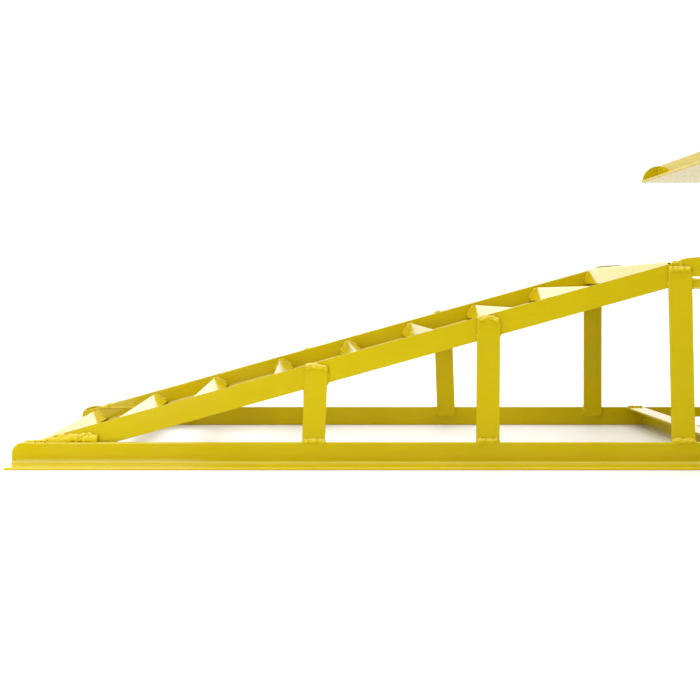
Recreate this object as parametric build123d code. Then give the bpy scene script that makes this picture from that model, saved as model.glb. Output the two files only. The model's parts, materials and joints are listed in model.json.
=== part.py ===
from build123d import *
import math
import os

# Hydraulic wheel ramp: a welded angle-iron ramp with inverted-V rungs, a base
# frame, and a wheel tray that a bottle jack raises between two guide columns.
# Millimetres.  Modelled with X = 0 at the low end of the base, then moved so
# that the origin is the bottom centre of the whole part.
#   +X  up the ramp, from the low end to the tray
#   -Y  right-hand side, +Y left-hand side (facing up the ramp)
#   +Z  up, the floor is Z = 0

os.makedirs("parts", exist_ok=True)

# ---------------------------------------------------------------- dimensions
BASE_LEN = 1290.0        # length of the base rails
ANGLE = 30.0             # leg of the base, ramp and bearer angle iron
ANGLE_T = 3.0            # its thickness
ROOT_R = 3.5             # rolled fillet inside the angle
TOE_R = 1.6              # rounded toe of each leg
HEEL_R = 0.7             # outer corner of the angle

LEG_IN = 157.0           # |Y| of the inner face of the base rail's upright leg
LEG_OUT = LEG_IN + ANGLE_T
POST_T = 4.0             # posts are 30 x 4 flat bar
POST_W = 30.0
RAIL_OUT = LEG_IN - POST_T        # |Y| of the outer face of the ramp rail
RAIL_IN = RAIL_OUT - ANGLE_T

SLOPE = 0.2788           # rise per unit run of the ramp
SLOPE_DEG = math.degrees(math.atan(SLOPE))
TOP_X, TOP_Z = 33.0, 32.0  # a point on the ramp rail's top edge
RAIL_X0 = 7.0            # low end of the ramp rail
RAIL_X1 = 876.0          # high end of the ramp rail

RUNG_X = [24.0, 126.0, 229.0, 340.0, 453.0, 559.0, 668.0, 774.0]
RUNG_LEG = 25.0
RUNG_DROP = 4.0          # apex below the rail's top edge, measured upright

POST_FOOT_Z = 16.0       # the posts lap the upper half of the base leg
POSTS = {                # side: [(foot X, head X, head Z), ...]
    "right": [(393.0, 397.4, 128.0), (621.8, 623.0, 191.5), (878.6, 873.6, 256.5)],
    "left": [(393.0, 394.5, 128.0), (622.4, 616.4, 191.0), (872.6, 872.8, 256.5)],
}

LAND_X, LAND_Z = 866.0, 267.0     # fold of the landing plate
LAND_END = 950.0
LAND_LIP = 28.0
LAND_T = 3.0
SIDE_PLATE_Z0, SIDE_PLATE_Z1 = 246.5, 272.4

TIE_X0, TIE_W, TIE_Z0, TIE_T = 878.0, 30.0, 232.2, 10.0

BEARER_F = 961.0         # high-end face of the front bearer's upright leg
JACK_X = 1124.0          # jack axis
BEARER_R = 2 * JACK_X - BEARER_F - 28.0   # low-end face of the rear bearer
FLOOR_HALF = 53.0        # half width of the plate that the jack stands on
FLOOR_T = 6.0

SLEEVE = 40.0            # guide sleeve, square tube
TUBE_T = 3.0
GUIDE_LEG = 32.0
SLEEVE_Y = LEG_IN - SLEEVE / 2
SLEEVE_Z0, SLEEVE_Z1 = 2.0, 240.0
LIFT = 150.0             # travel of the tray
PIN_Z = 215.0            # height of the locking pins
PIN_D = 10.0
PIN_TRAVEL = 42.0

TRAY_X0, TRAY_LEN = 959.0, 330.0
TRAY_Z, TRAY_T = 414.0, 4.0
TRAY_WALL_H = 28.0
TRAY_WALL_T = 3.0
LIP_SETBACK = 28.0
LIP_LEG = 24.0
LOAD_T = 6.0             # cross plate under the tray

SHIFT = BASE_LEN / 2     # X of the origin in the layout above

nodes = {}


# ------------------------------------------------------------------- helpers
def box(x0, x1, y0, y1, z0, z1):
    return Pos((x0 + x1) / 2, (y0 + y1) / 2, (z0 + z1) / 2) * Box(x1 - x0, y1 - y0, z1 - z0)


def cyl_z(x, y, z0, z1, r):
    return Pos(x, y, (z0 + z1) / 2) * Cylinder(r, z1 - z0)


def cyl_x(x0, x1, y, z, r):
    return Pos((x0 + x1) / 2, y, z) * Rot(0, 90, 0) * Cylinder(r, x1 - x0)


def cyl_y(x, y0, y1, z, r):
    return Pos(x, (y0 + y1) / 2, z) * Rot(90, 0, 0) * Cylinder(r, y1 - y0)


def hex_z(x, y, z0, z1, af):
    sk = RegularPolygon(radius=af / math.sqrt(3), side_count=6)
    return Pos(x, y, z0) * extrude(sk, amount=z1 - z0)


def near(shape, u, v):
    return min(shape.vertices(), key=lambda p: (p.X - u) ** 2 + (p.Y - v) ** 2)


def angle_profile(a, b, t):
    """L section, heel at the origin, legs along +u (a long) and +v (b long)."""
    sk = Polygon((0, 0), (a, 0), (a, t), (t, t), (t, b), (0, b), align=None)
    sk = fillet(near(sk, t, t), ROOT_R)
    sk = fillet([near(sk, a, t), near(sk, t, b)], TOE_R)
    sk = fillet(near(sk, 0, 0), HEEL_R)
    return sk


def along_x(sk, x0, x1):
    """Sketch (u, v) becomes (Y, Z), swept from x0 to x1."""
    return extrude(Plane(origin=(x0, 0, 0), x_dir=(0, 1, 0), z_dir=(1, 0, 0)) * sk, amount=x1 - x0)


def along_y(sk, y0, y1):
    """Sketch (u, v) becomes (X, Z), swept from y0 to y1."""
    return extrude(Plane(origin=(0, y1, 0), x_dir=(1, 0, 0), z_dir=(0, -1, 0)) * sk, amount=y1 - y0)


def soften(shape, r, test):
    """Round the edges that test(edge) picks; leave the shape if it can't be done."""
    try:
        picked = [e for e in shape.edges() if test(e)]
        return fillet(picked, r)
    except Exception:
        return shape


def flip(shape):
    return mirror(shape, Plane.XZ)


def top_z(x):
    return TOP_Z + SLOPE * (x - TOP_X)


# ----------------------------------------------------------------- base frame
# Base rail: upright leg at the inboard edge, flat leg outward on the floor.
sec = angle_profile(ANGLE, ANGLE, ANGLE_T)
rail = along_x(Pos(LEG_IN, 0) * sec, 0, BASE_LEN)
nose = box(-1, 15, LEG_IN - 1, LEG_OUT + 0.01, 15, 31) - cyl_y(15, LEG_IN - 2, LEG_OUT + 2, 15, 15)
tail = box(BASE_LEN - 15, BASE_LEN + 1, LEG_IN - 1, LEG_OUT + 0.01, 15, 31) - cyl_y(BASE_LEN - 15, LEG_IN - 2, LEG_OUT + 2, 15, 15)
rail = rail - nose - tail
nodes["base_rail_left"] = rail
nodes["base_rail_right"] = flip(rail)

# Bearers across the base: flat leg on top, upright leg on the jack's side.
sec = Pos(BEARER_F, ANGLE) * Rot(0, 0, 180) * angle_profile(ANGLE, ANGLE, ANGLE_T)
nodes["jack_bearer_front"] = along_y(sec, -LEG_IN, LEG_IN)
sec = Pos(BEARER_R, ANGLE) * Rot(0, 0, 270) * angle_profile(ANGLE, ANGLE, ANGLE_T)
nodes["jack_bearer_rear"] = along_y(sec, -LEG_IN, LEG_IN)

# Plate the jack stands on, flush with the bearers, and two bars under it.
floor_plate = box(BEARER_F, BEARER_R, -FLOOR_HALF, FLOOR_HALF, ANGLE - FLOOR_T, ANGLE)
for bx in (JACK_X - 40.0, JACK_X + 74.0):
    for by in (-38.0, 38.0):
        floor_plate -= cyl_z(bx, by, 0, 40, 4.5)
nodes["jack_floor_plate"] = floor_plate
bar = box(BEARER_F, BEARER_R, 47.0, 52.0, 0, ANGLE - FLOOR_T)
nodes["floor_stiffeners"] = Compound(children=[bar, flip(bar)])

# ---------------------------------------------------------------------- ramp
# Ramp rail: upright leg outboard, flat leg inward along the bottom.
length = 940.0
sec = Pos(RAIL_OUT, -ANGLE) * Rot(0, 0, 90) * angle_profile(ANGLE, ANGLE, ANGLE_T)
rail = Rot(0, -SLOPE_DEG, 0) * along_x(sec, -60, length)
rail = Pos(TOP_X, 0, TOP_Z) * rail
keep = box(RAIL_X0, RAIL_X1, 100, 200, 0.0, 400)
rail = rail & keep
nodes["ramp_rail_left"] = rail
nodes["ramp_rail_right"] = flip(rail)

# Rungs: inverted-V angle iron between the ramp rails, apex square to the ramp.
for i, rx in enumerate(RUNG_X):
    sec = angle_profile(RUNG_LEG, RUNG_LEG, ANGLE_T)
    sec = Pos(rx, top_z(rx) - RUNG_DROP) * Rot(0, 0, 225.0 + SLOPE_DEG) * sec
    nodes["rung_%d" % (i + 1)] = along_y(sec, -RAIL_IN, RAIL_IN)

# Posts: flat bars inside the base leg and outside the ramp rail.
for side, items in POSTS.items():
    for i, (fx, hx, hz) in enumerate(items):
        h = math.hypot(hx - fx, hz - POST_FOOT_Z)
        sk = Polygon((-POST_W / 2, 0), (POST_W / 2, 0), (POST_W / 2, h), (-POST_W / 2, h), align=None)
        sk = fillet(near(sk, POST_W / 2, h), 6.0)
        sk = fillet(near(sk, -POST_W / 2, h), 1.5)
        bar = along_y(sk, RAIL_OUT, LEG_IN)
        bar = soften(bar, 0.5, lambda e: abs((e @ 0).Y - (e @ 1).Y) < 0.01)
        lean = math.degrees(math.atan2(hx - fx, hz - POST_FOOT_Z))
        bar = Pos(fx, 0, POST_FOOT_Z) * Rot(0, lean, 0) * bar
        nodes["post_%s_%d" % (side, i + 1)] = flip(bar) if side == "right" else bar

# Landing at the top of the ramp: a folded plate, two side plates and a tie bar.
fold = math.radians(249.0)
lip_dx, lip_dz = LAND_LIP * math.cos(fold), LAND_LIP * math.sin(fold)
nx, nz = math.sin(fold), -math.cos(fold)          # unit normal, points inside the fold
inner_x = LAND_X + LAND_T * (1 - math.sin(math.radians(21.0))) / math.cos(math.radians(21.0))
sk = Polygon(
    (LAND_X, LAND_Z),
    (LAND_X + lip_dx, LAND_Z + lip_dz),
    (LAND_X + lip_dx + LAND_T * math.cos(fold + math.pi / 2), LAND_Z + lip_dz + LAND_T * math.sin(fold + math.pi / 2)),
    (inner_x, LAND_Z - LAND_T),
    (LAND_END, LAND_Z - LAND_T),
    (LAND_END, LAND_Z),
    align=None,
)
sk = fillet(near(sk, LAND_X, LAND_Z), 4.0)
sk = fillet(near(sk, inner_x, LAND_Z - LAND_T), 1.2)
nodes["landing_plate"] = along_y(sk, -RAIL_IN, RAIL_IN)

crown = Spline((RAIL_X1 + 0.2, 268.6), (885.0, 270.5), (898.0, 271.9), (915.0, SIDE_PLATE_Z1),
               tangents=[(1, 0.21), (1, 0.0)])
outline = Wire([
    crown,
    Line((915.0, SIDE_PLATE_Z1), (938.0, SIDE_PLATE_Z1)),
    RadiusArc((938.0, SIDE_PLATE_Z1), (953.0, SIDE_PLATE_Z1 - 15.0), 15.0),
    Line((953.0, SIDE_PLATE_Z1 - 15.0), (953.0, SIDE_PLATE_Z0)),
    Line((953.0, SIDE_PLATE_Z0), (RAIL_X1 + 0.2, SIDE_PLATE_Z0)),
    Line((RAIL_X1 + 0.2, SIDE_PLATE_Z0), (RAIL_X1 + 0.2, 268.6)),
])
plate = along_y(make_face(outline), RAIL_IN, RAIL_OUT)
nodes["landing_side_plates"] = Compound(children=[plate, flip(plate)])

tie = box(TIE_X0, TIE_X0 + TIE_W, -RAIL_OUT, RAIL_OUT, TIE_Z0, TIE_Z0 + TIE_T)
tie = soften(tie, 1.0, lambda e: abs((e @ 0).Y - (e @ 1).Y) > 100)
nodes["landing_tie_bar"] = tie

# ------------------------------------------------------------- guide columns
sx0, sx1 = JACK_X - SLEEVE / 2, JACK_X + SLEEVE / 2


def square_tube(x, y, z0, z1, size, t, r_out):
    outer = RectangleRounded(size, size, r_out)
    inner = RectangleRounded(size - 2 * t, size - 2 * t, max(r_out - t, 0.8))
    return Pos(x, y, z0) * extrude(outer - inner, amount=z1 - z0)


sleeve = square_tube(JACK_X, SLEEVE_Y, SLEEVE_Z0, SLEEVE_Z1, SLEEVE, TUBE_T, 4.0)
sleeve -= cyl_x(sx0 - 5, sx1 + 5, SLEEVE_Y, PIN_Z, PIN_D / 2 + 0.3)
nodes["guide_sleeve_left"] = sleeve
nodes["guide_sleeve_right"] = flip(sleeve)

# Raking brace from each sleeve down to the base rail, in the plane of the posts.
bx1, bz1 = sx1 - 6.0, 190.0
bx0, bz0 = 1236.0, POST_FOOT_Z + 4.0
span = math.hypot(bx1 - bx0, bz1 - bz0)
rake = math.degrees(math.atan2(bz1 - bz0, bx1 - bx0))
brace = Pos(bx0, 0, bz0) * Rot(0, -rake, 0) * box(0, span, RAIL_OUT, LEG_IN, -12.5, 12.5)
brace = brace - box(sx0 - 50, sx1, 100, 200, -100, 400)
brace = brace & box(900, BEARER_R - 2, 100, 200, 6.0, 400)
nodes["column_braces"] = Compound(children=[brace, flip(brace)])

bush = cyl_x(sx1, sx1 + 14, SLEEVE_Y, PIN_Z, 10.0) - cyl_x(sx1 - 1, sx1 + 15, SLEEVE_Y, PIN_Z, PIN_D / 2 + 0.06)
bush = soften(bush, 1.0, lambda e: (e @ 0).X > sx1 + 13.9 and e.length > 40)
nodes["pin_bushes"] = Compound(children=[bush, flip(bush)])

# Locking pin, drawn out: its tip rests in the bush.
tip = sx1 - 2.0
pin = cyl_x(tip + 1.5, tip + 60, SLEEVE_Y, PIN_Z, PIN_D / 2)
pin += Pos(tip + 0.75, SLEEVE_Y, PIN_Z) * Rot(0, -90, 0) * Cone(PIN_D / 2, PIN_D / 2 - 1.3, 1.5)
pin += cyl_x(tip + 60, tip + 63, SLEEVE_Y, PIN_Z, 8.0)
pin += cyl_x(tip + 63, tip + 73, SLEEVE_Y, PIN_Z, 6.0)
pin -= cyl_y(tip + 68, SLEEVE_Y - 20, SLEEVE_Y + 20, PIN_Z - 0.8, 2.6)
nodes["lock_pin_left"] = pin
nodes["lock_pin_right"] = flip(pin)
# The ring hangs in the pin's cross hole, square to the pin.
ring = Pos(tip + 68, SLEEVE_Y, PIN_Z - 12.0) * Rot(0, 90, 0) * Torus(12.0, 1.5)
nodes["pin_ring_left"] = ring
nodes["pin_ring_right"] = flip(ring)

# ---------------------------------------------------------------- wheel tray
tx0, tx1 = TRAY_X0, TRAY_X0 + TRAY_LEN
wall_in = LEG_OUT - TRAY_WALL_T
tray_plate = box(tx0, tx1, -wall_in, wall_in, TRAY_Z, TRAY_Z + TRAY_T)
tray_plate = soften(tray_plate, 0.6, lambda e: abs((e @ 0).Y - (e @ 1).Y) > 100)
nodes["tray_plate"] = tray_plate

sk = Polygon((tx0, TRAY_Z), (tx1, TRAY_Z), (tx1, TRAY_Z + TRAY_WALL_H), (tx0, TRAY_Z + TRAY_WALL_H), align=None)
sk = fillet([near(sk, tx0, TRAY_Z + TRAY_WALL_H), near(sk, tx1, TRAY_Z + TRAY_WALL_H)], TRAY_WALL_H - 1.5)
wall = along_y(sk, wall_in, LEG_OUT)
nodes["tray_side_left"] = wall
nodes["tray_side_right"] = flip(wall)

lip_z = TRAY_Z + TRAY_T
sec = Pos(tx0 + LIP_SETBACK, lip_z) * angle_profile(LIP_LEG, LIP_LEG, ANGLE_T)
nodes["tray_lip_low"] = along_y(sec, -wall_in, wall_in)
sec = Pos(tx1 - LIP_SETBACK, lip_z) * Rot(0, 0, 90) * angle_profile(LIP_LEG, LIP_LEG, ANGLE_T)
nodes["tray_lip_high"] = along_y(sec, -wall_in, wall_in)

load_z = TRAY_Z - LOAD_T
nodes["tray_load_plate"] = box(JACK_X - 40, JACK_X + 40, -RAIL_OUT, RAIL_OUT, load_z, TRAY_Z)
nodes["saddle_cup"] = cyl_z(JACK_X, 0, load_z - 8, load_z, 28) - cyl_z(JACK_X, 0, load_z - 9, load_z, 22)

leg = square_tube(JACK_X, SLEEVE_Y, load_z - 228, load_z, GUIDE_LEG, TUBE_T, 3.5)
for hz in (PIN_Z, PIN_Z + LIFT):
    leg -= cyl_x(sx0, sx1, SLEEVE_Y, hz, PIN_D / 2 + 0.5)
nodes["guide_leg_left"] = leg
nodes["guide_leg_right"] = flip(leg)

# ---------------------------------------------------------------- bottle jack
jz = ANGLE                       # underside of the jack
BLOCK_H = 18.0
RES_R, RES_T = 42.0, 3.0         # reservoir tube
BORE_R = 20.0                    # cylinder bore
RAM_R = 15.0
CAP_Z0, CAP_Z1 = 219.0, 233.0
FUL_X = JACK_X + 52.0            # fulcrum pin
PLG_X = FUL_X + 18.0             # pump plunger
LEV_Z = 104.0                    # height of both lever pins
bz = jz + BLOCK_H

block = box(JACK_X - 50, JACK_X + 84, -46, 46, jz, bz)
block = soften(block, 9.0, lambda e: abs((e @ 0).Z - (e @ 1).Z) > 10)
block = soften(block, 2.0, lambda e: min((e @ 0).Z, (e @ 1).Z) > bz - 0.01)
for bx in (JACK_X - 40.0, JACK_X + 74.0):
    for by in (-38.0, 38.0):
        block -= cyl_z(bx, by, 0, 80, 4.5)
block -= cyl_y(JACK_X + 58, -47, -30, jz + 9, 4.06)        # release valve bore
nodes["jack_base"] = block

res = cyl_z(JACK_X, 0, bz, CAP_Z0, RES_R) - cyl_z(JACK_X, 0, bz - 1, CAP_Z0 + 1, RES_R - RES_T)
res -= cyl_x(JACK_X - 60, JACK_X - 30, 0, 190.0, 5.0)      # filler hole
nodes["jack_reservoir"] = res
nodes["jack_cylinder"] = cyl_z(JACK_X, 0, bz, CAP_Z0, BORE_R + 5) - cyl_z(JACK_X, 0, bz - 1, CAP_Z0 + 1, BORE_R + 0.06)

cap = cyl_z(JACK_X, 0, CAP_Z0, CAP_Z0 + 5, RES_R) + hex_z(JACK_X, 0, CAP_Z0 + 5, CAP_Z1, 58.0)
cap -= cyl_z(JACK_X, 0, CAP_Z0 - 1, CAP_Z1 + 1, RAM_R + 0.06)
cap -= cyl_z(JACK_X, 0, CAP_Z1 - 4, CAP_Z1 + 1, RAM_R + 3.0)
nodes["jack_cap_nut"] = cap
nodes["ram_wiper_seal"] = cyl_z(JACK_X, 0, CAP_Z1 - 4, CAP_Z1 + 0.8, RAM_R + 3.0) - cyl_z(JACK_X, 0, CAP_Z1 - 5, CAP_Z1 + 2, RAM_R + 0.08)

saddle_top = load_z - 0.3
ram_top = saddle_top - 10.0
ram = cyl_z(JACK_X, 0, bz + 1 + LIFT + 18, ram_top, RAM_R)
ram += cyl_z(JACK_X, 0, bz + 1 + LIFT, bz + 1 + LIFT + 18, BORE_R)
ram -= cyl_z(JACK_X, 0, bz + LIFT, bz + 1 + LIFT + 6, 8.0)
ram -= cyl_z(JACK_X, 0, bz + 1 + LIFT + 8, bz + 1 + LIFT + 12, 30) - cyl_z(JACK_X, 0, bz + LIFT, bz + LIFT + 40, BORE_R - 2.4)
nodes["jack_ram"] = ram
nodes["piston_seal"] = cyl_z(JACK_X, 0, bz + 1 + LIFT + 8, bz + 1 + LIFT + 12, BORE_R) - cyl_z(JACK_X, 0, bz + LIFT, bz + LIFT + 40, BORE_R - 2.4)

saddle = cyl_z(JACK_X, 0, ram_top, saddle_top, 20.0)
saddle = soften(saddle, 1.0, lambda e: e.length > 100 and (e @ 0).Z > saddle_top - 0.1)
for a in range(0, 180, 30):      # crossed grip grooves on the crown
    groove = Rot(0, 0, a) * box(-25, 25, -1.0, 1.0, -1.5, 3.0)
    saddle -= Pos(JACK_X, 0, saddle_top) * groove
nodes["jack_saddle"] = saddle

nodes["filler_plug"] = cyl_x(JACK_X - RES_R - 3, JACK_X - RES_R + 6, 0, 190.0, 4.95) + cyl_x(JACK_X - RES_R - 5, JACK_X - RES_R - 1, 0, 190.0, 7.0)

# Pump: barrel on the block, plunger in it, fulcrum ears beside the reservoir.
nodes["pump_barrel"] = cyl_z(PLG_X, 0, bz, bz + 30, 11.0) - cyl_z(PLG_X, 0, bz + 3, bz + 31, 6.06)
plunger = cyl_z(PLG_X, 0, bz + 12, LEV_Z + 6, 6.0)
plunger -= cyl_y(PLG_X, -10, 10, LEV_Z, 3.04)
nodes["pump_plunger"] = plunger
nodes["plunger_pin"] = cyl_y(PLG_X, -12.0, 12.0, LEV_Z, 3.0)

ear = box(FUL_X - 8, FUL_X + 6, 13.0, 18.0, bz, LEV_Z)
ear += cyl_y(FUL_X - 1, 13.0, 18.0, LEV_Z, 7.0)
ear -= cyl_y(FUL_X, 12.0, 19.0, LEV_Z, 4.05)
nodes["fulcrum_ears"] = Compound(children=[ear, flip(ear)])
fpin = cyl_y(FUL_X, -18.3, 18.3, LEV_Z, 4.0)
fpin += cyl_y(FUL_X, 18.3, 20.8, LEV_Z, 6.5) + cyl_y(FUL_X, -20.8, -18.3, LEV_Z, 6.5)
nodes["fulcrum_pin"] = fpin

# Lever: two cheeks on the pins and a socket tube that takes the pump handle.
TILT = 30.0
SOCK_R0, SOCK_R1 = 10.2, 13.5
cheek = Polygon((-8, -7), (24, -9), (46, 14), (38, 26), (20, 8), (-8, 7), align=None)
cheek = fillet(cheek.vertices(), 3.0)
cheek = Pos(FUL_X, LEV_Z) * cheek
plate = along_y(cheek, 8.0, 11.5)
plate -= cyl_y(FUL_X, 0, 20, LEV_Z, 4.08)
for dx in (0.0, 0.53, 1.06):
    plate -= cyl_y(PLG_X + dx, 0, 20, LEV_Z, 3.5)
sock = cyl_x(40, 110, 0, 0, SOCK_R1) - cyl_x(50, 111, 0, 0, SOCK_R0)
sock = Pos(FUL_X, 0, LEV_Z) * Rot(0, -TILT, 0) * sock
lever = sock + plate + flip(plate)
hollow = Pos(FUL_X, 0, LEV_Z) * Rot(0, -TILT, 0) * cyl_x(50, 120, 0, 0, SOCK_R0)
lever = lever - hollow
nodes["pump_lever"] = lever

# Release valve with a tommy bar.
vy = -46.0
valve = cyl_y(JACK_X + 58, vy - 16, vy - 0.4, jz + 9, 6.0) + cyl_y(JACK_X + 58, vy - 0.4, vy + 13, jz + 9, 4.0)
valve += cyl_z(JACK_X + 58, vy - 11, jz + 9 - 0.01, jz + 9 + 24, 2.5) + cyl_z(JACK_X + 58, vy - 11, jz + 9 - 8.4, jz + 9 + 0.01, 2.5)
nodes["release_valve"] = valve

# Bolts and nuts that hold the jack down.
bolts, nuts = [], []
for bx in (JACK_X - 40.0, JACK_X + 74.0):
    for by in (-38.0, 38.0):
        bolts.append(hex_z(bx, by, bz, bz + 5.3, 13.0) + cyl_z(bx, by, 14.0, bz, 4.0))
        nuts.append(hex_z(bx, by, ANGLE - FLOOR_T - 6.5, ANGLE - FLOOR_T, 13.0) - cyl_z(bx, by, 10, 30, 4.0))
nodes["jack_bolts"] = Compound(children=[b for b in bolts])
nodes["jack_nuts"] = Compound(children=[n for n in nuts])

# -------------------------------------------------------------------- output
for name, shape in nodes.items():
    moved = Pos(-SHIFT, 0, 0) * shape
    export_step(moved, "parts/%s.step" % name)
print(len(nodes), "nodes written")
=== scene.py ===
import bpy, bmesh, math, random, json
from mathutils import Vector, Matrix, noise


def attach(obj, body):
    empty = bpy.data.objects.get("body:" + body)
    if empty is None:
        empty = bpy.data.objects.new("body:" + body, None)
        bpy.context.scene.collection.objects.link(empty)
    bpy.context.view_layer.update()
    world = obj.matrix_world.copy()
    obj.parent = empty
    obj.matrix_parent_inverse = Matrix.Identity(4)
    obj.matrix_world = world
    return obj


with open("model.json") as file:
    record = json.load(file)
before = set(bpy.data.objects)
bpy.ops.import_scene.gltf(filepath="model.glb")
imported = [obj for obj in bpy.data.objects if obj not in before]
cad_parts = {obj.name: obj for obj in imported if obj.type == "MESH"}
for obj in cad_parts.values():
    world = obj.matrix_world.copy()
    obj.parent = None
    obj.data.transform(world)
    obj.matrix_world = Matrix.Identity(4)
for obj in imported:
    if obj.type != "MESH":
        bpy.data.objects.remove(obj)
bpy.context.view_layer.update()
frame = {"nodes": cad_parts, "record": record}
nodes = frame["nodes"]
record = frame["record"]

scene = bpy.context.scene
col = scene.collection

X0 = 0.645                      # the CAD layout's X of the row's origin


def P(x, y, z):
    """Layout millimetres (X from the low end) to row metres."""
    return Vector((x / 1000 - X0, y / 1000, z / 1000))


# ------------------------------------------------------------------ node tools
def new_material(name):
    m = bpy.data.materials.new(name)
    m.use_nodes = True
    nt = m.node_tree
    nt.nodes.clear()
    out = nt.nodes.new("ShaderNodeOutputMaterial")
    bsdf = nt.nodes.new("ShaderNodeBsdfPrincipled")
    nt.links.new(bsdf.outputs["BSDF"], out.inputs["Surface"])
    return m, nt, bsdf


def tex_noise(nt, coord, scale, detail=3.0, rough=0.5, distortion=0.0):
    n = nt.nodes.new("ShaderNodeTexNoise")
    n.inputs["Scale"].default_value = scale
    n.inputs["Detail"].default_value = detail
    n.inputs["Roughness"].default_value = rough
    n.inputs["Distortion"].default_value = distortion
    nt.links.new(coord, n.inputs["Vector"])
    return n.outputs["Fac"]


def ramp(nt, fac, stops):
    r = nt.nodes.new("ShaderNodeValToRGB")
    el = r.color_ramp.elements
    while len(el) > 2:
        el.remove(el[-1])
    while len(el) < len(stops):
        el.new(0.5)
    for e, (p, c) in zip(el, stops):
        e.position = p
        e.color = (*c, 1.0) if len(c) == 3 else c
    nt.links.new(fac, r.inputs["Fac"])
    return r.outputs["Color"]


def remap(nt, fac, a, b, lo, hi):
    m = nt.nodes.new("ShaderNodeMapRange")
    m.inputs["From Min"].default_value = a
    m.inputs["From Max"].default_value = b
    m.inputs["To Min"].default_value = lo
    m.inputs["To Max"].default_value = hi
    nt.links.new(fac, m.inputs["Value"])
    return m.outputs["Result"]


def mix_rgb(nt, fac, a, b):
    m = nt.nodes.new("ShaderNodeMix")
    m.data_type = "RGBA"
    nt.links.new(fac, m.inputs["Factor"])
    for sock, v in ((m.inputs["A"], a), (m.inputs["B"], b)):
        if isinstance(v, tuple):
            sock.default_value = (*v, 1.0)
        else:
            nt.links.new(v, sock)
    return m.outputs["Result"]


def bump(nt, height, strength, distance, under=None):
    b = nt.nodes.new("ShaderNodeBump")
    b.inputs["Strength"].default_value = strength
    b.inputs["Distance"].default_value = distance
    nt.links.new(height, b.inputs["Height"])
    if under is not None:
        nt.links.new(under, b.inputs["Normal"])
    return b.outputs["Normal"]


def obj_coord(nt):
    return nt.nodes.new("ShaderNodeTexCoord").outputs["Object"]


# -------------------------------------------------------------------- materials
def yellow_paint(name="yellow_enamel", lumpy_with_painted_highlight=False):
    """Glossy enamel brushed or sprayed over hot-rolled steel. The weld copy is lighter and creamier: a painted
    highlight on the beads.
    """
    m, nt, b = new_material(name)
    co = obj_coord(nt)
    broad = tex_noise(nt, co, 7.0, 3.0, 0.55)
    stops = [(0.30, (0.590, 0.453, 0.0012)), (0.55, (0.622, 0.479, 0.0015)), (0.75, (0.645, 0.498, 0.0020))]
    if lumpy_with_painted_highlight:
        # painted highlight: the weld copy is 10% lighter and creamier than the plain paint, besides its rougher peel
        stops = [(p, (r * 1.10, g * 1.10, bl * 3.0)) for p, (r, g, bl) in stops]
    c1 = ramp(nt, broad, stops)
    # rolling marks and thin spots in the paint, long in X
    mapping = nt.nodes.new("ShaderNodeMapping")
    mapping.inputs["Scale"].default_value = (0.12, 1.0, 1.0)
    nt.links.new(co, mapping.inputs["Vector"])
    streak = tex_noise(nt, mapping.outputs["Vector"], 240.0, 4.0, 0.6)
    c2 = mix_rgb(nt, remap(nt, streak, 0.50, 0.80, 0.0, 0.30), c1, (0.510, 0.380, 0.0010))
    fine = tex_noise(nt, co, 330.0, 3.0, 0.6)
    c3 = mix_rgb(nt, remap(nt, fine, 0.66, 0.76, 0.0, 0.55), c2, (0.39, 0.28, 0.0012))
    nt.links.new(c3, b.inputs["Base Color"])
    smear = tex_noise(nt, co, 24.0, 5.0, 0.65, 0.6)
    nt.links.new(remap(nt, smear, 0.3, 0.75, 0.09, 0.19), b.inputs["Roughness"])
    wave = tex_noise(nt, co, 38.0, 2.0, 0.4)
    peel = tex_noise(nt, co, 520.0 if not lumpy_with_painted_highlight else 900.0, 2.0, 0.4)
    n1 = bump(nt, wave, 0.12, 0.0014)
    n2 = bump(nt, streak, 0.10, 0.0003, n1)
    n3 = bump(nt, peel, 0.06 if not lumpy_with_painted_highlight else 0.12, 0.0003, n2)
    nt.links.new(n3, b.inputs["Normal"])
    b.inputs["IOR"].default_value = 1.5
    b.inputs["Coat Weight"].default_value = 0.15
    b.inputs["Coat Roughness"].default_value = 0.08
    return m


def zinc_plate():
    """Bright zinc plating: bluish silver with a faint iridescent yellow bloom."""
    m, nt, b = new_material("zinc_plate")
    co = obj_coord(nt)
    bloom = tex_noise(nt, co, 30.0, 3.0, 0.6, 0.4)
    spang = nt.nodes.new("ShaderNodeTexVoronoi")
    spang.inputs["Scale"].default_value = 210.0
    nt.links.new(co, spang.inputs["Vector"])
    c1 = ramp(nt, bloom, [(0.30, (0.66, 0.67, 0.69)), (0.55, (0.74, 0.745, 0.75)), (0.78, (0.75, 0.72, 0.62))])
    c2 = mix_rgb(nt, remap(nt, spang.outputs["Distance"], 0.0, 0.9, 0.0, 0.22), c1, (0.52, 0.53, 0.55))
    nt.links.new(c2, b.inputs["Base Color"])
    b.inputs["Metallic"].default_value = 1.0
    nt.links.new(remap(nt, bloom, 0.25, 0.8, 0.32, 0.50), b.inputs["Roughness"])
    scratch_map = nt.nodes.new("ShaderNodeMapping")
    scratch_map.inputs["Scale"].default_value = (1.0, 0.05, 1.0)
    nt.links.new(co, scratch_map.inputs["Vector"])
    scratch = tex_noise(nt, scratch_map.outputs["Vector"], 900.0, 3.0, 0.6)
    nt.links.new(bump(nt, scratch, 0.10, 0.0002), b.inputs["Normal"])
    return m


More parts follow.
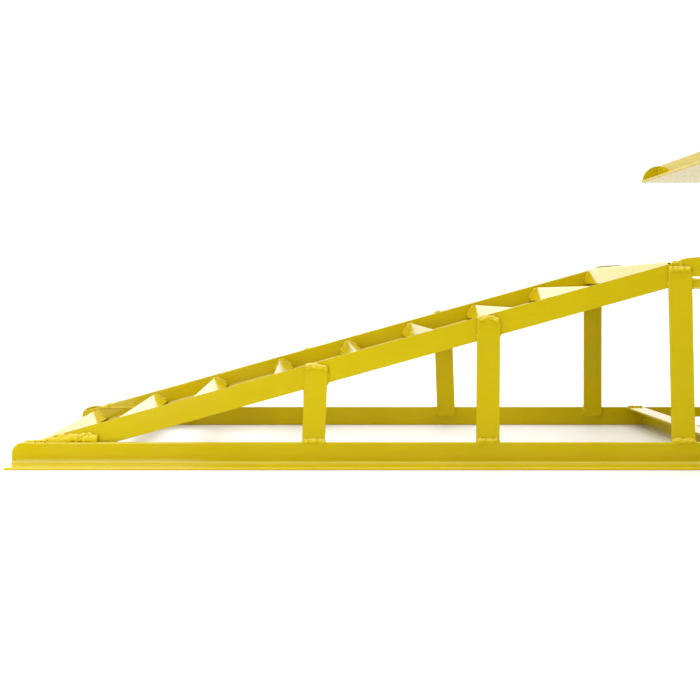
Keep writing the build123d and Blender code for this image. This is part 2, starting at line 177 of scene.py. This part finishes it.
def jack_enamel():
    """Semi-gloss black enamel with dust, orange peel and worn brown-grey specks."""
    m, nt, b = new_material("jack_enamel")
    co = obj_coord(nt)
    broad = tex_noise(nt, co, 22.0, 4.0, 0.6)
    c1 = ramp(nt, broad, [(0.30, (0.010, 0.010, 0.011)), (0.60, (0.016, 0.016, 0.017)), (0.80, (0.030, 0.029, 0.027))])
    speck = tex_noise(nt, co, 420.0, 3.0, 0.6)
    c2 = mix_rgb(nt, remap(nt, speck, 0.67, 0.74, 0.0, 0.8), c1, (0.12, 0.11, 0.10))
    nt.links.new(c2, b.inputs["Base Color"])
    nt.links.new(remap(nt, broad, 0.3, 0.8, 0.26, 0.46), b.inputs["Roughness"])
    peel = tex_noise(nt, co, 480.0, 2.0, 0.4)
    nt.links.new(bump(nt, peel, 0.22, 0.0004), b.inputs["Normal"])
    b.inputs["Coat Weight"].default_value = 0.2
    b.inputs["Coat Roughness"].default_value = 0.12
    return m


def hard_chrome():
    """Ground and chromed rod: fine rings round the rod."""
    m, nt, b = new_material("hard_chrome")
    co = obj_coord(nt)
    ring_map = nt.nodes.new("ShaderNodeMapping")
    ring_map.inputs["Scale"].default_value = (0.02, 0.02, 1.0)
    nt.links.new(co, ring_map.inputs["Vector"])
    rings = tex_noise(nt, ring_map.outputs["Vector"], 2600.0, 2.0, 0.5)
    film = tex_noise(nt, co, 40.0, 3.0, 0.6)
    c = ramp(nt, film, [(0.35, (0.70, 0.71, 0.73)), (0.75, (0.60, 0.60, 0.60))])
    nt.links.new(c, b.inputs["Base Color"])
    b.inputs["Metallic"].default_value = 1.0
    nt.links.new(remap(nt, film, 0.3, 0.8, 0.07, 0.16), b.inputs["Roughness"])
    nt.links.new(bump(nt, rings, 0.06, 0.0001), b.inputs["Normal"])
    return m


def oiled_steel():
    """Turned steel, oiled, with darker mill scale in patches."""
    m, nt, b = new_material("oiled_steel")
    co = obj_coord(nt)
    scale = tex_noise(nt, co, 60.0, 5.0, 0.65, 0.4)
    c = ramp(nt, scale, [(0.35, (0.36, 0.35, 0.34)), (0.58, (0.27, 0.26, 0.25)), (0.75, (0.13, 0.115, 0.10))])
    nt.links.new(c, b.inputs["Base Color"])
    b.inputs["Metallic"].default_value = 1.0
    nt.links.new(remap(nt, scale, 0.3, 0.8, 0.26, 0.52), b.inputs["Roughness"])
    turn_map = nt.nodes.new("ShaderNodeMapping")
    turn_map.inputs["Scale"].default_value = (0.03, 0.03, 1.0)
    nt.links.new(co, turn_map.inputs["Vector"])
    turn = tex_noise(nt, turn_map.outputs["Vector"], 1500.0, 2.0, 0.5)
    nt.links.new(bump(nt, turn, 0.20, 0.0002), b.inputs["Normal"])
    return m


def seal_rubber():
    m, nt, b = new_material("seal_rubber")
    co = obj_coord(nt)
    bloom = tex_noise(nt, co, 90.0, 4.0, 0.6)
    nt.links.new(ramp(nt, bloom, [(0.3, (0.012, 0.012, 0.012)), (0.8, (0.035, 0.034, 0.033))]), b.inputs["Base Color"])
    nt.links.new(remap(nt, bloom, 0.3, 0.8, 0.45, 0.7), b.inputs["Roughness"])
    nt.links.new(bump(nt, tex_noise(nt, co, 700.0), 0.15, 0.0002), b.inputs["Normal"])
    return m


MAT = {
    "yellow_paint": yellow_paint(),
    "zinc_plate": zinc_plate(),
    "jack_paint": jack_enamel(),
    "hard_chrome": hard_chrome(),
    "plain_steel": oiled_steel(),
    "seal_rubber": seal_rubber(),
}
WELD_PAINTED_HIGHLIGHT = yellow_paint("yellow_weld", lumpy_with_painted_highlight=True)


def painted_pinhole_shade():
    """Painted shade: dark soot-toned lumps that stand for the shadow down in a pinhole or an unfilled weld gap."""
    m, nt, b = new_material("weld_gap_painted_shade")
    co = obj_coord(nt)
    soot = tex_noise(nt, co, 600.0, 3.0, 0.6)
    nt.links.new(ramp(nt, soot, [(0.3, (0.010, 0.010, 0.012)), (0.7, (0.035, 0.030, 0.020))]), b.inputs["Base Color"])
    b.inputs["Roughness"].default_value = 0.8
    nt.links.new(bump(nt, soot, 0.3, 0.0003), b.inputs["Normal"])
    return m


PINHOLE_SHADE = painted_pinhole_shade()


def assign(obj, mat):
    obj.data.materials.clear()
    obj.data.materials.append(mat)


# which finish each CAD node has
node_slot = {}
for slot_name, names in {
    "zinc_plate": ["jack_floor_plate", "jack_bolts", "jack_nuts", "lock_pin_left", "lock_pin_right", "pin_ring_left",
                   "pin_ring_right", "fulcrum_pin", "plunger_pin", "release_valve"],
    "jack_paint": ["jack_base", "jack_reservoir", "jack_cap_nut", "pump_barrel", "pump_lever", "fulcrum_ears"],
    "hard_chrome": ["jack_ram", "pump_plunger"],
    "plain_steel": ["jack_cylinder", "jack_saddle"],
    "seal_rubber": ["ram_wiper_seal", "piston_seal", "filler_plug"],
}.items():
    for n in names:
        node_slot[n] = slot_name
for n, o in nodes.items():
    assign(o, MAT[node_slot.get(n, "yellow_paint")])

# ------------------------------------------------------------------- weld beads
STEP = 0.9          # mm between rings of a bead
SEG = 14


def tube_bead(bm, pts, up, width, height, seed, ripple=2.1, taper=2.2, rough=1.0):
    """A run of weld along pts (layout mm). up points out of the joint; the bead
    is a flattened dome that is sunk a little into the steel, with the crescent
    ripples of the electrode and uneven edges. Closed at both ends."""
    up = Vector(up).normalized()
    pts = [Vector(p) for p in pts]
    seg_len = [(pts[i + 1] - pts[i]).length for i in range(len(pts) - 1)]
    total = sum(seg_len)
    count = max(6, int(total / STEP))
    rings = []
    off = Vector((seed * 7.13, seed * 3.7, seed * 1.9))
    for k in range(count + 1):
        s = total * k / count
        d = s
        i = 0
        while i < len(seg_len) - 1 and d > seg_len[i]:
            d -= seg_len[i]
            i += 1
        t = (pts[i + 1] - pts[i]).normalized()
        centre = pts[i] + t * d
        side = t.cross(up).normalized()
        out = side.cross(t).normalized()
        end = min(1.0, s / taper, (total - s) / taper)
        end = math.sqrt(max(0.0, 1 - (1 - end) ** 2)) if end < 1 else 1.0
        end = max(end, 0.10)
        wob = noise.noise(Vector((s * 0.17, 0, 0)) + off) * 0.30 * rough
        wob2 = noise.noise(Vector((s * 0.11, 5.0, 0)) + off)
        centre = centre + side * wob2 * width * 0.13 * rough
        ring = []
        for j in range(SEG):
            a = 2 * math.pi * j / SEG
            ca, sa = math.cos(a), math.sin(a)
            # crescent ripple: the crest lags at the sides of the run
            phase = (s + 0.55 * width * abs(ca) ** 1.5) / ripple
            saw = phase - math.floor(phase)
            rip = (1 - saw) ** 1.4 if saw > 0.12 else (saw / 0.12)
            lump = noise.noise(Vector((s * 0.55, ca * 1.3, sa * 1.3)) + off) * 0.16 * rough
            r = 1 + wob + lump + 0.14 * (rip - 0.5) * (0.4 + max(0.0, sa))
            x = ca * width * 0.5 * r * end
            z = sa * (height if sa > 0 else height * 0.75) * r * end
            ring.append(bm.verts.new((centre + side * x + out * z)))
        rings.append(ring)
    for k in range(count):
        for j in range(SEG):
            bm.faces.new((rings[k][j], rings[k][(j + 1) % SEG], rings[k + 1][(j + 1) % SEG], rings[k + 1][j]))
    for ring, flip in ((rings[0], True), (rings[-1], False)):
        c = bm.verts.new(sum((v.co for v in ring), Vector()) / SEG)
        for j in range(SEG):
            a, b = ring[j], ring[(j + 1) % SEG]
            bm.faces.new((c, b, a) if flip else (c, a, b))


def droplet(bm, centre, r, seed, flat=0.6):
    """A spatter grain: a small lump sunk into the surface."""
    rng = random.Random(seed)
    res = bmesh.ops.create_icosphere(bm, subdivisions=2, radius=1.0)
    sx, sy, sz = r * rng.uniform(0.8, 1.25), r * rng.uniform(0.7, 1.1), r * flat * rng.uniform(0.8, 1.3)
    rot = Matrix.Rotation(rng.uniform(0, 6.28), 3, Vector((rng.uniform(-1, 1), rng.uniform(-1, 1), rng.uniform(-1, 1))).normalized())
    off = Vector((rng.uniform(0, 90), rng.uniform(0, 90), rng.uniform(0, 90)))
    for v in res["verts"]:
        p = v.co * (1 + 0.22 * noise.noise(v.co * 1.7 + off))
        p = rot @ Vector((p.x * sx, p.y * sy, p.z * sz))
        v.co = p + Vector(centre)


def finish_mesh(bm, name, body, mat):
    for v in bm.verts:
        v.co = Vector((v.co.x / 1000 - X0, v.co.y / 1000, v.co.z / 1000))
    bmesh.ops.recalc_face_normals(bm, faces=bm.faces)
    me = bpy.data.meshes.new(name)
    bm.to_mesh(me)
    bm.free()
    for p in me.polygons:
        p.use_smooth = True
    ob = bpy.data.objects.new(name, me)
    col.objects.link(ob)
    assign(ob, mat)
    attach(ob, body)
    return ob


class Welds:
    """Collects bead runs into one mesh per joint family."""

    def __init__(self, name, body="frame"):
        self.name, self.body, self.bm, self.seed = name, body, bmesh.new(), sum(map(ord, name)) % 97

    def run(self, pts, up, width=5.0, height=2.0, **kw):
        self.seed += 1
        tube_bead(self.bm, pts, up, width, height, self.seed, **kw)

    def drop(self, centre, r, flat=0.6):
        self.seed += 1
        droplet(self.bm, centre, r, self.seed, flat)

    def close(self, mat=None, slot="yellow_paint"):
        return finish_mesh(self.bm, self.name, self.body, mat or WELD_PAINTED_HIGHLIGHT)


SLOPE = 0.2788
COS = 1 / math.sqrt(1 + SLOPE * SLOPE)


def top_z(x):
    return 32.0 + SLOPE * (x - 33.0)


rng = random.Random(4711)

# 1. ramp rails to the base legs: a thick ragged bead where each rail comes out
for side, s in (("right", -1), ("left", 1)):
    w = Welds("weld_ramp_foot_" + side)
    x_end = 112.0
    pts = [(42 + (x_end - 42) * k / 10, s * 154.6, 31.0 + 2.6 * k / 10 + (1.0 if 2 < k < 10 else 0)) for k in range(11)]
    w.run(pts, (0, s * 0.55, 1), 9.5, 5.6, ripple=3.2, taper=3.0, rough=1.7)
    pts = [(58 + 48 * k / 8, s * 154.2, 36.0 + 2.2 * k / 8) for k in range(9)]
    w.run(pts, (0, s * 1.0, 0.55), 8.0, 4.2, ripple=3.6, taper=4.0, rough=1.8)
    w.run([(16, s * 155.6, 30.6), (44, s * 155.2, 31.6)], (0, s * 0.2, 1), 4.6, 1.7, ripple=2.6, rough=1.8)
    for k in range(46):
        x = rng.uniform(26, 60) if k < 30 else rng.uniform(60, 124)
        w.drop((x, s * rng.uniform(153.8, 159.6), rng.uniform(29.9, 30.8) + (2.2 if x > 42 and rng.random() < 0.5 else 0)), rng.uniform(0.5, 1.5))
    for k in range(16):
        w.drop((rng.uniform(30, 120), s * 160.1, rng.uniform(20, 30)), rng.uniform(0.3, 0.7))
    # inside, under the rail's flat leg
    w.run([(34, s * 150.2, 30.2), (96, s * 150.2, 30.6)], (0, -s, 1), 4.5, 1.9)
    w.close()

# 2. posts: heads against the ramp rail, feet on the base leg, backs inside
POSTS = {
    "right": [(393.0, 397.4, 128.0), (621.8, 623.0, 191.5), (878.6, 873.6, 256.5)],
    "left": [(393.0, 394.5, 128.0), (622.4, 616.4, 191.0), (872.6, 872.8, 256.5)],
}
for side, s in (("right", -1), ("left", 1)):
    w = Welds("weld_posts_" + side)
    for i, (fx, hx, hz) in enumerate(POSTS[side]):
        h = math.hypot(hx - fx, hz - 16.0)
        ax = Vector(((hx - fx) / h, 0, (hz - 16.0) / h))
        cr = Vector((ax.z, 0, -ax.x))
        head = Vector((hx, 0, hz))

        def at(u, v, y):
            """u along the bar's width from its centre, v above its head."""
            p = head + cr * u + ax * v
            return (p.x, s * y, p.z)

        # head: a shallow arch across the bar's top edge, on the rail's face
        arch = [(-14.5, -1.2), (-10, 0.4), (-4, 0.9), (2, 0.9), (8, 0.5), (11.5, -0.9), (14.6, -4.6)]
        if i == 2:
            arch = [(-14.8, -0.6), (-8, 0.3), (0, 0.6), (8, 0.3), (14.4, -0.8)]
        w.run([at(u, v, 154.2) for u, v in arch], (0, s * 0.75, 0.66), 7.4, 3.7, ripple=2.6, rough=1.5)
        w.run([at(u * 0.94, v - 1.6, 156.2) for u, v in arch], (0, s * 0.6, 0.8), 5.4, 2.6, ripple=3.0, rough=1.9)
        # down both edges of the lap on the rail
        below = top_z(hx) - 30.0 / COS
        lap = max(8.0, hz - below - 2.0)
        w.run([at(15.2, -7, 153.6), at(15.2, -lap, 153.6)], (1, s * 0.8, 0), 3.6, 1.7)
        w.run([at(-15.2, -lap + 4, 153.4), at(-15.2, -lap - 3, 153.4)], (-1, s * 0.8, 0), 2.6, 1.0)
        # foot: bead along the base leg's top edge, in front of the bar
        def foot(u, y, z):
            x = fx + (z - 16.0) * ax.x / ax.z + u
            return (x, s * y, z)
        w.run([foot(-15.6, 157.6, 30.4), foot(-6, 157.9, 30.9), foot(5, 157.9, 30.7), foot(15.8, 157.6, 30.3)], (0, s * 0.5, 1), 7.0, 3.9, ripple=2.8, rough=1.6)
        w.run([foot(-14.0, 157.6, 33.0), foot(13.0, 157.6, 32.8)], (0, s * 0.7, 0.75), 5.6, 2.8, ripple=3.1, rough=1.9)
        # foot sides, inside the leg
        w.run([foot(15.2, 156.6, 29.4), foot(15.2, 156.6, 17)], (1, -s * 0.6, 0), 3.8, 1.9)
        w.run([foot(-15.2, 156.6, 29.4), foot(-15.2, 156.6, 17)], (-1, -s * 0.6, 0), 3.8, 1.9)
        w.run([foot(-13, 156.4, 15.8), foot(13, 156.4, 15.8)], (0, -s * 0.6, -1), 3.6, 1.7)
        for k in range(18):
            w.drop(foot(rng.uniform(-26, 26), rng.uniform(157.6, 159.8), 30.0), rng.uniform(0.35, 0.95))
        for k in range(9):
            w.drop(at(rng.uniform(-18, 18), rng.uniform(1.5, 7), 153.0), rng.uniform(0.3, 0.7))
        for k in range(10):
            w.drop(at(rng.uniform(-13, 13), -rng.uniform(3, 14), 157.0), rng.uniform(0.25, 0.6))
        for k in range(8):
            w.drop(foot(rng.uniform(-24, 24), 160.0, rng.uniform(21, 29.5)), rng.uniform(0.25, 0.55))
    w.close()

# 3. rung ends on the inner faces of the ramp rails
RUNG_X = [24.0, 126.0, 229.0, 340.0, 453.0, 559.0, 668.0, 774.0]
lean = math.atan(SLOPE)
right_dir = Vector((math.cos(math.radians(45) - lean), 0, -math.sin(math.radians(45) - lean)))
left_dir = Vector((-math.cos(math.radians(45) + lean), 0, -math.sin(math.radians(45) + lean)))
for side, s in (("right", -1), ("left", 1)):
    w = Welds("weld_rungs_" + side)
    for rx in RUNG_X:
        apex = Vector((rx, 0, top_z(rx) - 4.0))
        for d, other, start in ((right_dir, left_dir, 1.5), (left_dir, right_dir, 1.0)):
            n_out = (-other).normalized()
            a = apex + d * start
            b = apex + d * 22.5
            low = 3.0
            if b.z < low:
                b = apex + d * ((apex.z - low) / -d.z)
            if (b - a).length < 6:
                continue
            w.run([(a.x + n_out.x * 0.3, s * 149.8, a.z + n_out.z * 0.3), (b.x + n_out.x * 0.3, s * 149.8, b.z + n_out.z * 0.3)],
                  (n_out.x, -s * 1.0, n_out.z), 4.6, 1.9, ripple=2.2)
            inner = -n_out
            a2 = a + d * 4 + inner * 3.2
            b2 = b - d * 1 + inner * 3.2
            if (b2 - a2).length > 6:
                w.run([(a2.x, s * 149.8, a2.z), (b2.x, s * 149.8, b2.z)], (inner.x, -s * 1.0, inner.z), 3.8, 1.6, ripple=2.2)
        for k in range(5):
            w.drop((rx + rng.uniform(-16, 20), s * 150.0, top_z(rx) - rng.uniform(5, 22)), rng.uniform(0.25, 0.6))
    w.close()

# 4. bearers, floor plate and stiffeners
w = Welds("weld_bearers")
for s in (-1, 1):
    for x0, x1, up in ((933.0, 959.0, -1), (1261.0, 1287.0, 1)):
        w.run([(x0, s * 156.6, 30.4), (x1, s * 156.6, 30.4)], (0, -s * 1.0, 1), 5.0, 2.1)
        w.run([(x0 + 2, s * 156.6, 26.6), (x1 - 2, s * 156.6, 26.6)], (0, -s * 1.0, -1), 4.2, 1.8)
    for x, nx in ((961.2, 1), (957.8, -1), (1258.8, -1), (1262.2, 1)):
        w.run([(x, s * 156.6, 24.5), (x, s * 156.6, 5.0)], (nx, -s * 1.0, 0), 4.4, 1.9)
w.close()
w = Welds("weld_floor_plate")
for x, nx in ((961.2, 1), (1258.8, -1)):
    for y0, y1 in ((-50, -26), (-10, 14), (28, 51)):
        w.run([(x, y0, 29.6), (x, y1, 29.6)], (nx * 0.15, 0, 1), 5.2, 1.5)
        w.run([(x + nx * 0.2, y0 + 3, 23.8), (x + nx * 0.2, y1 + 1, 23.8)], (nx, 0, -1), 4.6, 2.1)
for s in (-1, 1):
    for x0 in (985, 1060, 1140, 1212):
        w.run([(x0, s * 52.2, 23.8), (x0 + 24, s * 52.2, 23.8)], (0, s * 1.0, -0.4), 3.6, 1.4)
        w.run([(x0 + 6, s * 46.8, 23.8), (x0 + 30, s * 46.8, 23.8)], (0, -s * 1.0, -1), 4.2, 2.0)
w.close()

# 5. landing: plate to rails and side plates, side plates to rails, tie bar
w = Welds("weld_landing")
for s in (-1, 1):
    w.run([(878.0, s * 149.6, 263.6), (906.0, s * 149.6, 263.6)], (0, -s * 1.0, -1), 4.6, 2.0)
    w.run([(918.0, s * 149.6, 263.6), (944.0, s * 149.6, 263.6)], (0, -s * 1.0, -1), 4.6, 2.0)
    for x0, x1 in ((880.0, 902.0), (920.0, 944.0)):
        w.run([(x0, s * 150.2, 267.2), (x1, s * 150.2, 267.2)], (0, -s * 1.0, 1), 3.6, 1.6)
    # lip of the plate to the rail, outside and inside
    w.run([(864.6, s * 149.6, 263.0), (857.2, s * 149.6, 243.5)], (-1, -s * 1.0, 0.3), 4.2, 1.7)
    # side plate butted on the end of the rail
    w.run([(876.1, s * 152.8, 267.4), (876.1, s * 152.8, 248.5)], (0, s * 1.0, 0), 4.4, 1.3)
    w.run([(876.1, s * 150.2, 262.4), (876.1, s * 150.2, 248.5)], (0, -s * 1.0, 0), 4.4, 1.5)
    w.run([(864.0, s * 151.4, top_z(864.0) - 0.2), (872.0, s * 151.5, top_z(872.0) - 0.1), (879.0, s * 151.5, 268.9), (886.0, s * 151.5, 270.4)], (0, s * 0.2, 1), 3.4, 1.0, ripple=2.4)
    # tie bar end on the post and rail end
    w.run([(882.0, s * 152.6, 242.5), (905.0, s * 152.6, 242.5)], (0, -s * 0.8, 1), 4.0, 1.7)
    w.run([(882.0, s * 152.6, 231.9), (905.0, s * 152.6, 231.9)], (0, -s * 0.8, -1), 4.0, 1.7)
    for k in range(12):
        w.drop((rng.uniform(860, 884), s * 153.0, rng.uniform(244, 264)), rng.uniform(0.3, 0.7))
w.close()

# 6. guide sleeves, braces and bushes
w = Welds("weld_columns")
for s in (-1, 1):
    w.run([(1106.0, s * 156.8, 30.4), (1142.0, s * 156.8, 30.4)], (0, s * 0.7, 1), 6.0, 2.6)
    for x, nx in ((1103.8, -1), (1144.2, 1)):
        w.run([(x, s * 156.4, 28.5), (x, s * 156.4, 5)], (nx, -s * 0.8, 0), 4.6, 2.1)
    # brace against the sleeve and on the base leg
    w.run([(1144.3, s * 152.6, 194.5), (1144.3, s * 152.6, 168.5)], (1, -s * 0.7, 0), 4.4, 1.9)
    w.run([(1144.3, s * 156.9, 194.5), (1144.3, s * 156.9, 168.5)], (1, s * 0.9, 0), 4.2, 1.6)
    w.run([(1212.0, s * 157.4, 30.5), (1244.0, s * 157.4, 30.3)], (0, s * 0.7, 1), 5.6, 2.6)
    w.run([(1212.0, s * 153.0, 29.4), (1240.0, s * 153.0, 12.0)], (0.3, -s * 1.0, 0.3), 2.4, 0.9)
    # bush ring on the sleeve
    ring = [(1144.3, s * 137 + 10.2 * math.cos(a), 215 + 10.2 * math.sin(a)) for a in [2 * math.pi * k / 24 for k in range(24)]]
    ring.append(ring[0])
    bead = []
    for k in range(0, 24, 8):
        part = ring[k:k + 8]
        mid = part[len(part) // 2]
        w.run(part, (0.9, (mid[1] - s * 137) / 10.2, (mid[2] - 215) / 10.2), 3.6, 1.5, taper=1.4)
    for k in range(14):
        w.drop((1144.0, s * rng.uniform(120, 155), rng.uniform(170, 205)), rng.uniform(0.25, 0.6))
w.close()

# 7. tray: side walls, lips, load plate, cup and guide legs
w = Welds("weld_tray", "tray")
for s in (-1, 1):
    for x0 in (972.0, 1040.0, 1112.0, 1184.0, 1250.0):
        w.run([(x0, s * 156.6, 418.3), (x0 + 26, s * 156.6, 418.3)], (0, -s * 1.0, 1), 4.2, 1.8)
    for x0 in (1060.0, 1160.0, 1240.0):
        w.run([(x0, s * 157.2, 413.9), (x0 + 24, s * 157.2, 413.9)], (0, s * 0.2, -1), 4.0, 1.1)
    # lips to the side walls
    for x, nx in ((987.0, -1), (1261.0, 1)):
        w.run([(x, s * 156.6, 420.0), (x, s * 156.6, 439.0)], (nx, -s * 1.0, 0), 3.8, 1.6)
    # load plate ends and guide legs
    for x, nx in ((1083.8, -1), (1164.2, 1)):
        w.run([(x, s * 150.0, 413.6), (x, s * 118.0, 413.6)], (nx, 0, -1), 4.8, 2.2)
        w.run([(x, s * 70.0, 413.6), (x, s * 38.0, 413.6)], (nx, 0, -1), 4.8, 2.2)
    for a, b, up in (((1108.2, 122.0), (1108.2, 152.0), (-1, 0, -1)), ((1139.8, 122.0), (1139.8, 152.0), (1, 0, -1)),
                     ((1109.0, 121.2), (1139.0, 121.2), (0, -s, -1)), ((1109.0, 152.4), (1139.0, 152.4), (0, s, -1))):
        w.run([(a[0], s * a[1], 407.8), (b[0], s * b[1], 407.8)], up, 4.4, 2.0)
for x, nx in ((987.0, -1), (1014.8, 1), (1233.2, -1), (1261.0, 1)):
    for y0 in (-140, -60, 30, 112):
        w.run([(x, y0, 418.2), (x, y0 + 28, 418.2)], (nx, 0, 1), 4.2, 1.7)
cup = [(1124 + 28.3 * math.cos(2 * math.pi * k / 40), 28.3 * math.sin(2 * math.pi * k / 40), 407.8) for k in range(41)]
for k in range(0, 40, 10):
    seg = cup[k:k + 10]
    mid = seg[5]
    w.run(seg, ((mid[0] - 1124) / 28.3, mid[1] / 28.3, -1), 4.2, 1.9, taper=1.8)
w.close()

# the jack's own welds, under its black paint: reservoir and pump barrel on the base
w = Welds("weld_jack_body")
for centre, radius, low in (((1124.0, 0.0), 42.2, 48.2), ((1194.0, 0.0), 11.2, 48.2)):
    for q in range(3):
        arc = []
        for k in range(19):
            a = math.radians(q * 120 + 4 + k * 116 / 18)
            arc.append((centre[0] + radius * math.cos(a), centre[1] + radius * math.sin(a), low))
        mid = math.radians(q * 120 + 62)
        w.run(arc, (math.cos(mid) * 0.3, math.sin(mid) * 0.3, 1), 4.4 if radius > 30 else 3.2, 2.0 if radius > 30 else 1.5, taper=1.6, rough=0.7)
w.close(MAT["jack_paint"], "jack_paint")

# 8. pinholes and unfilled gaps in the welds, as raised dark specks of painted shade
bm = bmesh.new()
for c, r in (((386.6, -157.3, 127.4), 0.9), ((612.9, -157.2, 190.6), 1.3), ((616.0, -157.4, 191.6), 0.8),
             ((861.0, -151.6, 263.6), 1.4), ((30.0, -158.2, 31.2), 0.9), ((47.0, -159.6, 32.8), 0.8),
             ((888.8, -157.1, 254.6), 0.6), ((405.0, -157.2, 31.6), 0.6)):
    droplet(bm, c, r, int(c[0]), 0.8)
finish_mesh(bm, "weld_pinhole_painted_shade", "frame", PINHOLE_SHADE)

# ------------------------------------------------------------------------ stage
bpy.ops.mesh.primitive_plane_add(size=14, location=(0, 0, -0.0003))
floor = bpy.context.object
floor.name = "studio_floor"
fm, nt, b = new_material("studio_floor")
co = obj_coord(nt)
pale = ramp(nt, tex_noise(nt, co, 3.0), [(0.3, (0.90, 0.90, 0.899)), (0.7, (0.925, 0.925, 0.923))])
nt.links.new(pale, b.inputs["Base Color"])
b.inputs["Roughness"].default_value = 0.7
assign(floor, fm)

floor.visible_glossy = False

world = bpy.data.worlds.new("studio")
scene.world = world
world.use_nodes = True
wnt = world.node_tree
wnt.nodes.clear()


def wn(kind, **inputs):
    n = wnt.nodes.new(kind)
    return n


wout = wn("ShaderNodeOutputWorld")
bg = wn("ShaderNodeBackground")
wnt.links.new(bg.outputs["Background"], wout.inputs["Surface"])
wco = wn("ShaderNodeTexCoord").outputs["Generated"]
sep = wn("ShaderNodeSeparateXYZ")
wnt.links.new(wco, sep.inputs[0])


def wmath(op, a, b=0.0):
    n = wn("ShaderNodeMath")
    n.operation = op
    for sock, v in ((n.inputs[0], a), (n.inputs[1], b)):
        if isinstance(v, (int, float)):
            sock.default_value = v
        else:
            wnt.links.new(v, sock)
    return n.outputs[0]


def wmap(v, a, b, lo, hi):
    n = wn("ShaderNodeMapRange")
    n.interpolation_type = "SMOOTHSTEP"
    for name, val in (("From Min", a), ("From Max", b), ("To Min", lo), ("To Max", hi)):
        if isinstance(val, (int, float)):
            n.inputs[name].default_value = val
        else:
            wnt.links.new(val, n.inputs[name])
    wnt.links.new(v, n.inputs["Value"])
    return n.outputs["Result"]


# soft boxes behind, above and to the left; a darker room on the open side
wall = wmath("MULTIPLY", wmap(sep.outputs["Y"], 0.50, 0.86, 0.0, 1.0), wmap(sep.outputs["Z"], 0.42, 0.70, 1.0, 0.25))
upper = wmath("ADD", 0.07, wmath("MULTIPLY", wall, wmap(sep.outputs["Z"], 0.09, 0.25, 1.00, 2.25)))
upper = wmath("ADD", upper, wmap(sep.outputs["Z"], 0.52, 0.95, 0.0, 2.55))
upper = wmath("ADD", upper, wmap(sep.outputs["X"], -0.9, -0.2, 0.50, 0.0))
upper = wmath("ADD", upper, wmap(sep.outputs["X"], 0.3, 0.9, 0.0, 0.22))
lower = wmath("ADD", 0.05, wmath("MULTIPLY", wmap(sep.outputs["Y"], -0.25, 0.70, 0.0, 1.0), wmap(sep.outputs["X"], -0.30, 0.30, 0.10, 0.95)))
wnt.links.new(wmap(sep.outputs["Z"], -0.06, 0.02, lower, upper), bg.inputs["Strength"])
bg.inputs["Color"].default_value = (1, 1, 1, 1)
# the backdrop itself is plain white
white = wn("ShaderNodeBackground")
white.inputs["Strength"].default_value = 1.4
path = wn("ShaderNodeLightPath")
mixw = wn("ShaderNodeMixShader")
wnt.links.new(path.outputs["Is Camera Ray"], mixw.inputs["Fac"])
wnt.links.new(bg.outputs["Background"], mixw.inputs[1])
wnt.links.new(white.outputs["Background"], mixw.inputs[2])
wnt.links.new(mixw.outputs["Shader"], wout.inputs["Surface"])


def area(name, loc, target, size, power, color=(1, 1, 1)):
    d = bpy.data.lights.new(name, "AREA")
    d.shape = "RECTANGLE"
    d.size, d.size_y = size
    d.energy = power
    d.color = color
    o = bpy.data.objects.new(name, d)
    col.objects.link(o)
    o.location = loc
    o.rotation_euler = (Vector(target) - Vector(loc)).to_track_quat("-Z", "Y").to_euler()
    return o


area("key_soft_box", P(-190, -1180, 300), P(220, -160, 40), (0.6, 0.6), 4.6)

scene.view_settings.view_transform = "Standard"
scene.view_settings.look = "None"

# ----------------------------------------------------------------------- camera
cam_data = bpy.data.cameras.new("camera")
cam = bpy.data.objects.new("camera", cam_data)
col.objects.link(cam)
cam.location = P(386.4, -160 - 1013, 223.5)
cam.rotation_euler = (math.radians(90), 0, 0)
cam_data.sensor_width = 36.0
cam_data.lens = 777.0 / 700.0 * 36.0
cam_data.shift_x = 0.06
cam_data.shift_y = -0.08
cam_data.clip_end = 60
scene.camera = cam
